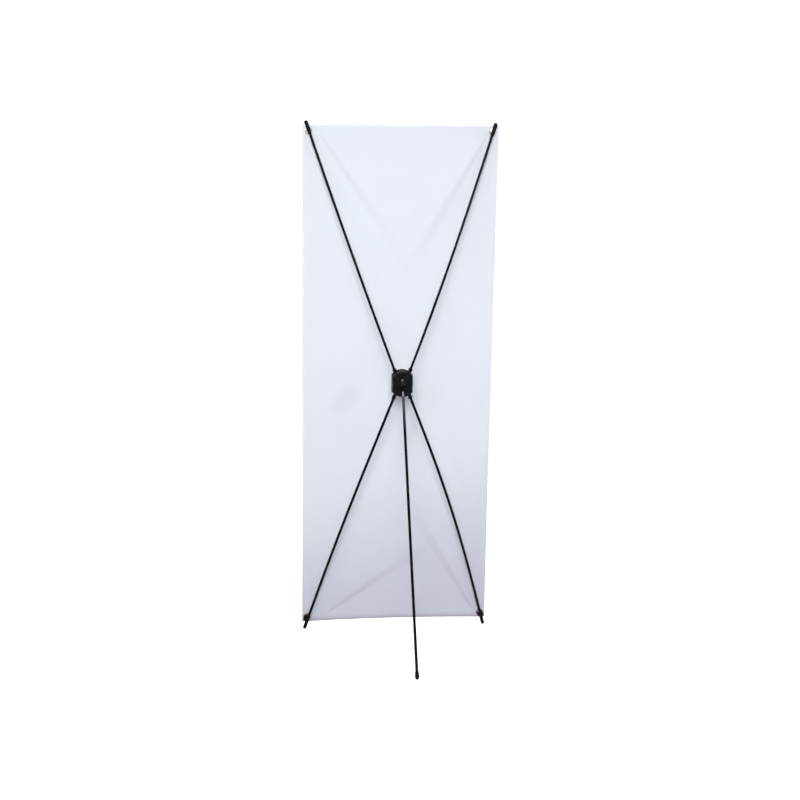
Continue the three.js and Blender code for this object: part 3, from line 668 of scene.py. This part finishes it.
def eyeletProfile():
    # a rolled flange on the print side, a barrel through the cloth and a curled lip behind the washer
    s = ringSizes
    bore, outer, soft = layout["boreRadius"], s["outer"], s["soft"]
    barrel = bore + s["barrel"]
    roll = arc((outer - s["roll"], -ringSeat - s["rollRise"]), s["roll"], 0, -90, steps=5)
    front = [(outer, -ringSeat)] + roll[:-1]
    front += [(outer - s["flat"][0], -flangeFront), (bore + s["flat"][1], -flangeFront)]
    rear = [(bore + soft, -flangeFront + soft), (bore, -flangeFront + s["throat"]), (bore, washerRear)]
    lip = arc((barrel + s["curl"], barrelRear - soft), barrel + s["curl"] - bore, 180, 90, steps=5)
    lip += arc((barrel + s["lip"] - soft, barrelRear - soft), soft, 90, 0)
    lip += [(barrel + s["lip"], washerRear + gap), (barrel, washerRear + gap), (barrel, -ringSeat)]
    return front + rear + lip + front[:1]


def washerProfile():
    s = ringSizes
    inner, outer = layout["boreRadius"] + s["barrel"] + gap, s["outer"]
    crown = [(outer, ringSeat)] + [(outer - inward, ringSeat + rise) for inward, rise in s["washerEdge"]]
    crown += [(outer - s["washerFlat"][0], washerRear), (inner + s["washerFlat"][1], washerRear)]
    return crown + [(inner, washerRear - s["soft"]), (inner, ringSeat), crown[0]]


def makeRing(arm, kind, profile):
    name = f"{arm['name']}_{kind}"
    bm = spun(profile, leaning @ Matrix.Translation(arm["eyelet"]) @ alongY, steps=56)
    return dress(makeObject(name + "_ring", bm, sharpAbove=40), "banner", "eyelet_nickel", name)


rings = [makeRing(arm, "eyelet", eyeletProfile()) for arm in arms]
rings += [makeRing(arm, "washer", washerProfile()) for arm in arms]
print("eyelets made")


# End caps: a sleeve with a round tip, and a peg through the eyelet

def capFrame(arm):
    # turned along the rod's end, where the cantilever's slope is 1.5
    slope = Vector((-pi * arm["bow"], -1.5 * arm["forward"], arm["length"]))
    turn = slope.to_track_quat("Z", "Y").to_matrix().to_4x4()
    return Matrix.Translation((0, -arm["forward"], arm["length"])) @ turn


def hookShape(arm):
    # the boss behind the washer and the peg through the eyelet, square to the cloth
    s = capSizes
    spot = Matrix.Rotation(-arm["turn"], 4, "Y") @ (arm["peg"] - arm["pivot"])
    capBehind = layout["tipBehind"] + layout["capRadius"]
    bossLength = capBehind - barrelRear - gap
    pegLength = capBehind + flangeFront + s["pegPast"]
    peg = layout["pegRadius"]
    profile = [(0, 0), (arm["boss"], 0)] + corner(arm["boss"], bossLength, s["bossSoft"])
    profile += [(peg, bossLength)] + corner(peg, pegLength, s["pegSoft"]) + [(0, pegLength)]
    place = Matrix.Translation((spot.x, capBehind - layout["hubBehind"], spot.z))
    return spun(profile, place @ Matrix.Rotation(pi / 2, 4, "X"))


def makeCap(arm):
    s = capSizes
    radius, length = layout["capRadius"], arm["capLength"]
    profile = [(0, -length)] + corner(s["neck"], -length, s["soft"], low=True)
    profile += [(s["neck"], s["shoulder"][0] - length), (radius, s["shoulder"][1] - length)]
    profile += arc((0, 0), radius, 0, 90, steps=12)
    moulding = makeObject(arm["name"] + "_cap_moulding", spun(profile, capFrame(arm)))
    combine(moulding, hookShape(arm), "UNION")
    room = addBar(bmesh.new(), arm["rod"] + gap, -2 * length, s["grip"] + gap - length, capFrame(arm))
    combine(moulding, room)
    moulding.data.transform(arm["frame"])
    if not arm["upper"]:
        trimAtFloor(moulding)
    return dress(moulding, arm["name"] + "_arm", "cap_plastic", arm["name"] + "_cap")


caps = [makeCap(arm) for arm in arms]
print("end caps made")


# The banner: a fine sheet with its tension folds, stretched by its corners

sheetSizes = {
    "columns": 145, "rows": 310, "crowding": 0.4,
    "bottomScallop": 5 * mm, "topScallop": 1 * mm, "sideScallop": 1.6 * mm,
    "foldDepth": 5 * mm, "foldHalfWidth": 19 * mm, "foldStart": 28 * mm, "foldRise": 95 * mm,
    "foldReach": 430 * mm, "foldSpread": 0.16, "hole": 7.2 * mm,
    "puckerDepth": 0.9 * mm, "puckerStart": 13 * mm, "puckerReach": 62 * mm, "puckerFan": 0.9,
    "puckerCount": 9, "puckerShift": 0.8,
    "creaseHalfWidth": 6 * mm, "creaseSpread": 0.035, "creaseFade": 45 * mm, "creaseReach": 600 * mm,
    "creaseStart": 12 * mm, "creaseRise": 50 * mm,
}


def fromEyelet(arm, x, z):
    # how far inward a point lies from an arm's eyelet, across and along the banner
    return arm["side"] * (arm["eyelet"].x - x), arm["level"] * (arm["eyelet"].z - clothMiddle - z)


def alongFold(inX, inZ, slant):
    # how far a point lies along a slanting fold, and beside it
    return inX * sin(slant) + inZ * cos(slant), inX * cos(slant) - inZ * sin(slant)


def foldRelief(x, z):
    s = sheetSizes
    total = 0
    for arm in arms:
        along, across = alongFold(*fromEyelet(arm, x, z), arm["slant"])
        rise = smoothRise(along, s["foldStart"], s["foldRise"])
        width = s["foldHalfWidth"] + s["foldSpread"] * max(along, 0)
        total += s["foldDepth"] * rise * exp(-(along / s["foldReach"]) ** 2) * exp(-(across / width) ** 2)
    return total


def creases(x, z):
    # a narrow step beside each fold that faces down and so takes less light
    s = sheetSizes
    total = 0
    for arm in arms:
        startX, startZ, slant, height = creaseSettings[arm["name"]][:4]
        inX = layout["clothWidth"] / 2 - arm["side"] * x - startX
        inZ = layout["clothHeight"] / 2 - arm["level"] * z - startZ
        along, across = alongFold(inX, inZ, slant)
        halfWidth = s["creaseHalfWidth"] + s["creaseSpread"] * max(along, 0)
        step = (smoothRise(across, -halfWidth, halfWidth) - 0.5) * exp(-(across / s["creaseFade"]) ** 2)
        fade = smoothRise(along, s["creaseStart"], s["creaseRise"]) * exp(-(along / s["creaseReach"]) ** 2)
        total += arm["level"] * height * step * fade
    return total


def puckers(x, z):
    # short ridges that fan out from each eyelet
    s = sheetSizes
    total = 0
    for arm in arms:
        inX, inZ = fromEyelet(arm, x, z)
        reach = hypot(inX, inZ)
        if s["puckerStart"] < reach < 3 * s["puckerReach"]:
            turn = atan2(inX, inZ) - arm["slant"]
            near = exp(-(reach / s["puckerReach"]) ** 2)
            fade = smoothRise(reach, s["puckerStart"], 2 * s["puckerStart"]) * near
            ridge = s["puckerDepth"] * cos(s["puckerCount"] * turn + s["puckerShift"] * arm["side"])
            total += ridge * fade * exp(-(turn / s["puckerFan"]) ** 2)
    return total


def crowd(share):
    # draws the grid lines towards the edges, where the folds start
    return share + sheetSizes["crowding"] * sin(2 * pi * share) / (2 * pi)


def cutEyeletHole(bm, centre, radius):
    def reach(spot):
        return hypot(spot.x - centre.x, spot.z - centre.z)
    inside = [face for face in bm.faces if reach(face.calc_center_median()) < radius]
    bmesh.ops.delete(bm, geom=inside, context="FACES")
    for vert in bm.verts:
        if vert.is_boundary and reach(vert.co) < 2 * radius:
            scale = radius / reach(vert.co)
            vert.co.x = centre.x + (vert.co.x - centre.x) * scale
            vert.co.z = centre.z + (vert.co.z - centre.z) * scale


def makeBanner():
    s = sheetSizes
    width, height = layout["clothWidth"], layout["clothHeight"]
    bm = bmesh.new()
    bmesh.ops.create_grid(bm, x_segments=s["columns"], y_segments=s["rows"], size=0.5)
    flat = {}
    for vert in bm.verts:
        shareX, shareZ = crowd(vert.co.x), crowd(vert.co.y)
        x = shareX * (width - 2 * s["sideScallop"] * cos(pi * shareZ))
        z = shareZ * height
        edge = cos(pi * shareX) * (s["bottomScallop"] * (0.5 - shareZ) - s["topScallop"] * (0.5 + shareZ))
        vert.co = (x, foldRelief(x, z) + creases(x, z) + puckers(x, z), clothMiddle + z + edge)
        flat[vert.index] = ((shareX + 0.5) * width, (shareZ + 0.5) * height)
    uv = bm.loops.layers.uv.new("flat")
    for face in bm.faces:
        for loop in face.loops:
            loop[uv].uv = flat[loop.vert.index]
    for arm in arms:
        cutEyeletHole(bm, arm["eyelet"], s["hole"])
    bmesh.ops.transform(bm, matrix=leaning, verts=bm.verts)
    sheet = makeObject("banner_sheet", bm, sharpAbove=60)
    thick = sheet.modifiers.new("thickness", "SOLIDIFY")
    thick.thickness = layout["clothThick"]
    thick.offset = 0
    settle(sheet, sharpAbove=60)
    return dress(sheet, "banner", "banner_fabric", "banner_cloth")


makeBanner()
print("banner made")


# The hub: two shells around the arm sockets and the leg's knuckle

hub = {
    "width": 65 * mm, "dome": 41.5 * mm, "shoulder": (27.5 * mm, 31 * mm), "shoulderBottom": 24.5 * mm,
    "heelTop": -28.5 * mm, "heel": (25.5 * mm, -34.5 * mm), "bottom": -44 * mm,
    "frontDepth": 15 * mm, "rearDepth": 17 * mm, "wall": 2.5 * mm, "step": 1.5 * mm, "bevel": 2.6 * mm,
    "boss": 6.5 * mm, "eyeRoom": 5.8 * mm, "soft": 0.45 * mm, "fold": radians(19),
    "pad": (11.5 * mm, 7 * mm, 14.5 * mm), "padUp": 6 * mm, "padSunk": 1 * mm, "outlineSteps": 8,
    "screwBore": 2.3 * mm, "headBore": 4.3 * mm, "headDepth": 7 * mm, "bite": 6 * mm,
}
slot = {"pivotBehind": 11 * mm, "pivotDrop": 3 * mm, "knuckle": 5 * mm, "halfRoom": 3.3 * mm,
        "halfWide": 6 * mm, "cheek": 4.2 * mm, "cheekDrop": 5.5 * mm}
slotFront = slot["pivotBehind"] - slot["knuckle"] - layout["play"]
slotTop = slot["knuckle"] + layout["play"] - slot["pivotDrop"]
cheekReach = slot["halfRoom"] + slot["cheek"]
cheekBottom = -slot["pivotDrop"] - slot["cheekDrop"]
legPivot = Vector((0, slot["pivotBehind"], -slot["pivotDrop"]))
pinPlace = Matrix.Translation(legPivot) @ alongX


def hubOutline(inset):
    reach = hub["width"] / 2 - inset
    shoulderX, shoulderZ = hub["shoulder"][0] - inset, hub["shoulder"][1] - inset
    heelX, heelZ = hub["heel"][0] - inset, hub["heel"][1] + inset
    top, bottom = hub["dome"] - inset, hub["bottom"] + inset
    steps = hub["outlineSteps"]
    shares = [step / steps - 1 for step in range(2 * steps + 1)]
    dome = [(share * shoulderX, shoulderZ + (top - shoulderZ) * (1 - share ** 2)) for share in shares]
    keel = [(-share * heelX, heelZ + (bottom - heelZ) * (1 - share ** 2)) for share in shares]
    right = [(reach, hub["shoulderBottom"] - inset), (reach, hub["heelTop"] + inset)]
    left = [(-reach, hub["heelTop"] + inset), (-reach, hub["shoulderBottom"] - inset)]
    return dome + right + keel + left


def pivotPlace(arm, turn=Matrix()):
    spot = arm["pivot"] - hubPlace
    return Matrix.Translation((spot.x, 0, spot.z)) @ turn


def sweepRoom(arm):
    # the room that a socket needs on its way from open to folded
    halfWidth = socketSizes["collar"] + socketSizes["lip"] + layout["play"]
    far = socketSizes["reach"] + hub["width"]
    inward = Vector((-arm["outward"] * cos(hub["fold"]), -sin(hub["fold"]))) * halfWidth
    folded = Vector((-arm["outward"] * sin(hub["fold"]), cos(hub["fold"]))) * far + inward
    fan = [(arm["outward"] * halfWidth, 0), (arm["outward"] * halfWidth, far), tuple(folded), tuple(inward)]
    room = plate(fan, -hub["eyeRoom"], hub["eyeRoom"])
    addBar(room, socketSizes["eye"] + layout["play"], -hub["eyeRoom"], hub["eyeRoom"], alongY)
    place = pivotPlace(arm, Matrix.Rotation(arm["turn"] + arm["socketTurn"], 4, "Y"))
    bmesh.ops.transform(room, matrix=place, verts=room.verts)
    return room


def screwDepths(arm):
    # upper screws are driven from behind, lower ones from the print side
    return (1, hub["rearDepth"]) if arm["upper"] else (-1, hub["frontDepth"])


def screwPlace(arm):
    return pivotPlace(arm, Matrix.Rotation(-screwDepths(arm)[0] * pi / 2, 4, "X"))


def shellCuts():
    cuts = bmesh.new()
    for arm in arms:
        joinInto(cuts, sweepRoom(arm))
        depth = screwDepths(arm)[1]
        addBar(cuts, hub["screwBore"], -hub["eyeRoom"] - hub["bite"] - gap, depth, screwPlace(arm))
        addBar(cuts, hub["headBore"], depth - hub["headDepth"] - gap, 2 * depth, screwPlace(arm))
    return cuts


def hubShell(name, inset, depth):
    # made open towards the front; the front shell is turned over afterwards
    shell = makeObject(name, plate(hubOutline(inset), gap / 2, depth, hub["bevel"]))
    combine(shell, plate(hubOutline(inset + hub["wall"]), -depth, depth - hub["wall"]))
    bosses = bmesh.new()
    for arm in arms:
        addBar(bosses, hub["boss"], hub["eyeRoom"], depth - hub["wall"] / 2, pivotPlace(arm, alongY))
    combine(shell, bosses, "UNION")
    return shell


def makeRearShell():
    depth = hub["rearDepth"]
    shell = hubShell("hub_rear_moulding", hub["step"], depth)
    pad = bmesh.new()
    place = Matrix.Translation((0, depth, hub["padUp"])) @ Matrix.Diagonal((*hub["pad"], 1))
    bmesh.ops.create_uvsphere(pad, u_segments=56, v_segments=28, radius=1, matrix=place)
    bmesh.ops.bisect_plane(pad, geom=pad.verts[:] + pad.edges[:] + pad.faces[:], clear_inner=True,
                           plane_co=(0, depth - hub["padSunk"], 0), plane_no=(0, 1, 0))
    bmesh.ops.holes_fill(pad, edges=pad.edges, sides=0)
    combine(shell, pad, "UNION")
    cheeks = block((-cheekReach, slotFront, cheekBottom),
                   (cheekReach, depth - hub["wall"] / 2, slotTop + slot["cheek"]))
    combine(shell, cheeks, "UNION")
    combine(shell, shellCuts())
    # the leg's room: between the cheeks, through the wall behind them and below them
    narrow, wide = slot["halfRoom"], slot["halfWide"]
    rooms = (((-narrow, slotFront - depth, 2 * cheekBottom), (narrow, 2 * depth, slotTop)),
             ((-wide, depth - hub["wall"], 2 * hub["bottom"]), (wide, 2 * depth, slotTop)),
             ((-wide, slotFront - depth, 2 * hub["bottom"]), (wide, 2 * depth, cheekBottom)))
    for low, high in rooms:
        combine(shell, block(low, high))
    combine(shell, addBar(bmesh.new(), hub["screwBore"], -hub["width"] / 3, hub["width"] / 3, pinPlace))
    soften(shell, hub["soft"])
    shell.data.transform(hubFrame)
    dress(shell, "hub", "hub_plastic", "hub_rear_shell")


def makeFrontShell():
    shell = hubShell("hub_front_moulding", 0, hub["frontDepth"])
    shell.data.transform(Matrix.Diagonal((1, -1, 1, 1)))
    shell.data.flip_normals()
    combine(shell, shellCuts())
    soften(shell, hub["soft"])
    shell.data.transform(hubFrame)
    dress(shell, "hub", "hub_plastic", "hub_front_shell")


makeRearShell()
makeFrontShell()
print("hub made")


# Screws and the leg's pin

screwSizes = {"shank": 2 * mm, "head": 3.8 * mm, "headHeight": 2.6 * mm, "crown": 1.2 * mm,
              "crossArm": 2 * mm, "crossHalf": 0.5 * mm, "crossDepth": 1.5 * mm, "tip": 0.4 * mm}


def makeScrew(arm):
    s = screwSizes
    seat = screwDepths(arm)[1] - hub["headDepth"]
    top = seat + s["headHeight"]
    point = -hub["eyeRoom"] - hub["bite"]
    profile = [(0, point), (s["shank"] - s["tip"], point), (s["shank"], point + s["tip"]), (s["shank"], seat)]
    profile += [(s["head"], seat)] + corner(s["head"], top, s["crown"], steps=5) + [(0, top)]
    screw = makeObject(arm["name"] + "_screw_turned", spun(profile, steps=36))
    for x, y in ((s["crossArm"], s["crossHalf"]), (s["crossHalf"], s["crossArm"])):
        combine(screw, block((-x, -y, top - s["crossDepth"]), (x, y, top + s["crown"])))
    screw.data.transform(hubFrame @ screwPlace(arm))
    dress(screw, "hub", "screw_steel", arm["name"] + "_pivot_screw")


def makePin():
    radius, tip = screwSizes["shank"], screwSizes["tip"]
    profile = [(0, -cheekReach), (radius - tip, -cheekReach), (radius, tip - cheekReach)]
    profile += [(radius, cheekReach - tip), (radius - tip, cheekReach), (0, cheekReach)]
    pin = makeObject("leg_pin_turned", spun(profile, hubFrame @ pinPlace, steps=32))
    dress(pin, "hub", "screw_steel", "leg_pivot_pin")


for arm in arms:
    makeScrew(arm)
makePin()
print("screws made")


# The rear leg: a socket on the pin, a bright spigot, the rod that slips over it, and a foot

leg = {
    "spread": radians(35.9), "drift": 6 * mm, "rod": 4.2 * mm, "rodStart": 40.5 * mm, "rodSteps": 12,
    "rodEdge": 0.3 * mm, "rodMouth": 0.2 * mm, "spigot": 2.7 * mm, "grip": 10 * mm, "halfKnuckle": 3 * mm,
    "straight": 6 * mm, "socket": 4 * mm, "reach": 24 * mm, "lip": 5 * mm, "soft": 0.5 * mm,
}
foot = {"radius": 6.2 * mm, "round": 10 * mm, "length": 24 * mm, "neck": 5.2 * mm, "grip": 14 * mm,
        "neckSoft": 0.6 * mm, "swell": 0.15 * mm, "steps": 14}
slope = leg["spread"] - lean
footRest = hypot(foot["radius"] * sin(slope), foot["round"] * cos(slope))
legDrop = (hubFrame @ legPivot).z - footRest + layout["floorTrim"]
legDrift = atan(leg["drift"] / legDrop)
legLength = legDrop / cos(slope) / cos(legDrift)
legFrame = hubFrame @ Matrix.Translation(legPivot) @ Matrix.Rotation(pi + leg["spread"], 4, "X")
driftTurn = Matrix.Rotation(legDrift, 4, "Y")
footStart = legLength + foot["round"] - foot["length"]
legRodEnd = footStart + foot["grip"]


def makeLegSocket():
    half, soft = leg["halfKnuckle"], leg["soft"]
    knuckle = roundedBar(slot["knuckle"], -half, half, soft)
    socket = makeObject("leg_socket_moulding", spun(knuckle, alongX))
    narrow, reach = half - layout["hair"], leg["reach"]
    sleeve = [(0, 0), (narrow, 0), (narrow, leg["straight"]), (leg["socket"], reach - leg["lip"])]
    combine(socket, spun(sleeve + corner(leg["socket"], reach, soft) + [(0, reach)]), "UNION")
    bore = addBar(bmesh.new(), leg["spigot"] + gap, reach - leg["grip"] - gap, 2 * reach, driftTurn)
    combine(socket, bore)
    combine(socket, addBar(bmesh.new(), hub["screwBore"], -slot["knuckle"], slot["knuckle"], alongX))
    socket.data.transform(legFrame)
    dress(socket, "rear_leg", "hub_plastic", "leg_socket")


def makeSpigot():
    low, high = leg["reach"] - leg["grip"], leg["rodStart"] + leg["grip"]
    profile = roundedBar(leg["spigot"], low, high, leg["soft"])
    spigot = makeObject("leg_spigot_turned", spun(profile, legFrame @ driftTurn, steps=36))
    dress(spigot, "rear_leg", "spigot_steel", "leg_spigot")


def makeLegRod():
    start, end, steps, edge = leg["rodStart"], legRodEnd, leg["rodSteps"], leg["rodEdge"]
    bore = start + leg["grip"] + gap
    hole = leg["spigot"] + gap
    wall = (leg["rod"] + hole) / 2
    profile = [(0, bore), (hole, bore), (hole, start + edge), (hole + leg["rodMouth"], start), (wall, start)]
    profile += corner(leg["rod"], start, edge, low=True)
    profile += [(leg["rod"], start + (end - start) * step / steps) for step in range(1, steps)]
    profile += corner(leg["rod"], end, edge) + [(0, end)]
    rod = makeObject("leg_rod_tube", spun(profile, legFrame @ driftTurn, steps=36), sharpAbove=50)
    dress(rod, "rear_leg", "rod_gloss", "leg_rod")


def makeLegFoot():
    neck, radius = foot["neck"], foot["radius"]
    middle = (footStart + legLength) / 2
    profile = [(0, footStart)] + corner(neck, footStart, foot["neckSoft"], low=True)
    profile += [((neck + radius) / 2, middle - leg["soft"])]
    profile += [(radius - foot["swell"], legLength - 3 * leg["soft"])]
    turns = [radians(90 * step / foot["steps"]) for step in range(foot["steps"])]
    profile += [(radius * cos(turn), legLength + foot["round"] * sin(turn)) for turn in turns]
    profile += [(0, legLength + foot["round"])]
    moulding = makeObject("leg_foot_moulding", spun(profile))
    room = addBar(bmesh.new(), leg["rod"] + gap, footStart - leg["grip"], legRodEnd + gap)
    combine(moulding, room)
    moulding.data.transform(legFrame @ driftTurn)
    trimAtFloor(moulding)
    dress(moulding, "rear_leg", "cap_plastic", "leg_foot")


makeLegSocket()
makeSpigot()
makeLegRod()
makeLegFoot()
print("leg made")


# Floor, light and camera

studio = {
    "lens": 76.37, "camera": (0.5947, 5.0854, 1.333), "yaw": radians(6.4875), "pitch": radians(6.179),
    "clipEnd": 200, "floorReach": 60, "floorSunk": 0.2 * mm, "floor": tone(0.80, 0.80, 0.82),
    "floorGlow": tone(0.82, 0.82, 0.82), "sky": tone(0.92, 0.90, 1.06), "skyStrength": 0.26,
    "backdrop": tone(1.0, 1.0, 1.0), "backdropStrength": 1.05,
}
lights = {       # place, target, width and height, power, colour, spread
    "key": ((0.8, 5.45, 2.75), (0, -0.1, 1.16), (2.2, 1.7), 17.2, (0.99, 0.995, 0.96), radians(42)),
    "side": ((4.2, 4.6, 3.0), (0, -0.1, 0.83), (0.6, 0.5), 1.6, (0.80, 0.81, 1.0), radians(42)),
    "high": ((0.45, 2.1, 3.45), (0, 0, 0.8), (0.5, 0.35), 3, (1.0, 1.0, 1.0), radians(120)),
    "front": ((-1.2, -4.2, 3.2), (0, 0, 0.8), (2.0, 1.6), 70, (1.0, 1.0, 1.0), radians(120)),
}


def seenDirectly(tree):
    # the white backdrop is for the eye only, and the room's own light stays softer
    return addNode(tree, "ShaderNodeLightPath", output="Is Camera Ray")


def makeFloor():
    bm = bmesh.new()
    place = Matrix.Translation((0, 0, -studio["floorSunk"]))
    bmesh.ops.create_grid(bm, x_segments=1, y_segments=1, size=studio["floorReach"], matrix=place)
    floor = makeObject("floor", bm)
    look = Finish("paleFloor", Base_Color=studio["floor"], Roughness=0.8, Specular_IOR_Level=0.2,
                  Emission_Strength=1.0)
    look.feed(Emission_Color=look.blend(seenDirectly(look.tree), tone(0, 0, 0), studio["floorGlow"]))
    floor.data.materials.append(look.material)


def makeSky():
    world = bpy.data.worlds.new("studio")
    bpy.context.scene.world = world
    world.use_nodes = True
    tree = world.node_tree
    seen = seenDirectly(tree)
    hue = mixColours(tree, seen, studio["sky"], studio["backdrop"])
    strength = studio["skyStrength"] + seen * (studio["backdropStrength"] - studio["skyStrength"])
    for socket, end in ((hue, "Color"), (strength, "Strength")):
        tree.links.new(socket.socket, tree.nodes["Background"].inputs[end])


def addLight(name, place, target, size, power, colour, spread):
    light = bpy.data.lights.new(name, "AREA")
    light.shape = "RECTANGLE"
    light.size, light.size_y = size
    light.energy, light.color, light.spread = power, colour, spread
    obj = bpy.data.objects.new(name, light)
    bpy.context.scene.collection.objects.link(obj)
    obj.location = place
    obj.rotation_euler = (Vector(target) - Vector(place)).to_track_quat("-Z", "Y").to_euler()
    obj.visible_camera = False


def makeCamera():
    lens = bpy.data.cameras.new("camera")
    lens.lens = studio["lens"]
    lens.clip_end = studio["clipEnd"]
    camera = bpy.data.objects.new("camera", lens)
    bpy.context.scene.collection.objects.link(camera)
    yaw, pitch = studio["yaw"], studio["pitch"]
    ahead = Vector((-sin(yaw) * cos(pitch), -cos(yaw) * cos(pitch), -sin(pitch)))
    camera.location = studio["camera"]
    camera.rotation_euler = ahead.to_track_quat("-Z", "Y").to_euler()
    bpy.context.scene.camera = camera


makeFloor()
makeSky()
for name, settings in lights.items():
    addLight(name, *settings)
makeCamera()
bpy.context.scene.view_settings.view_transform = "Standard"

print("scene ready")
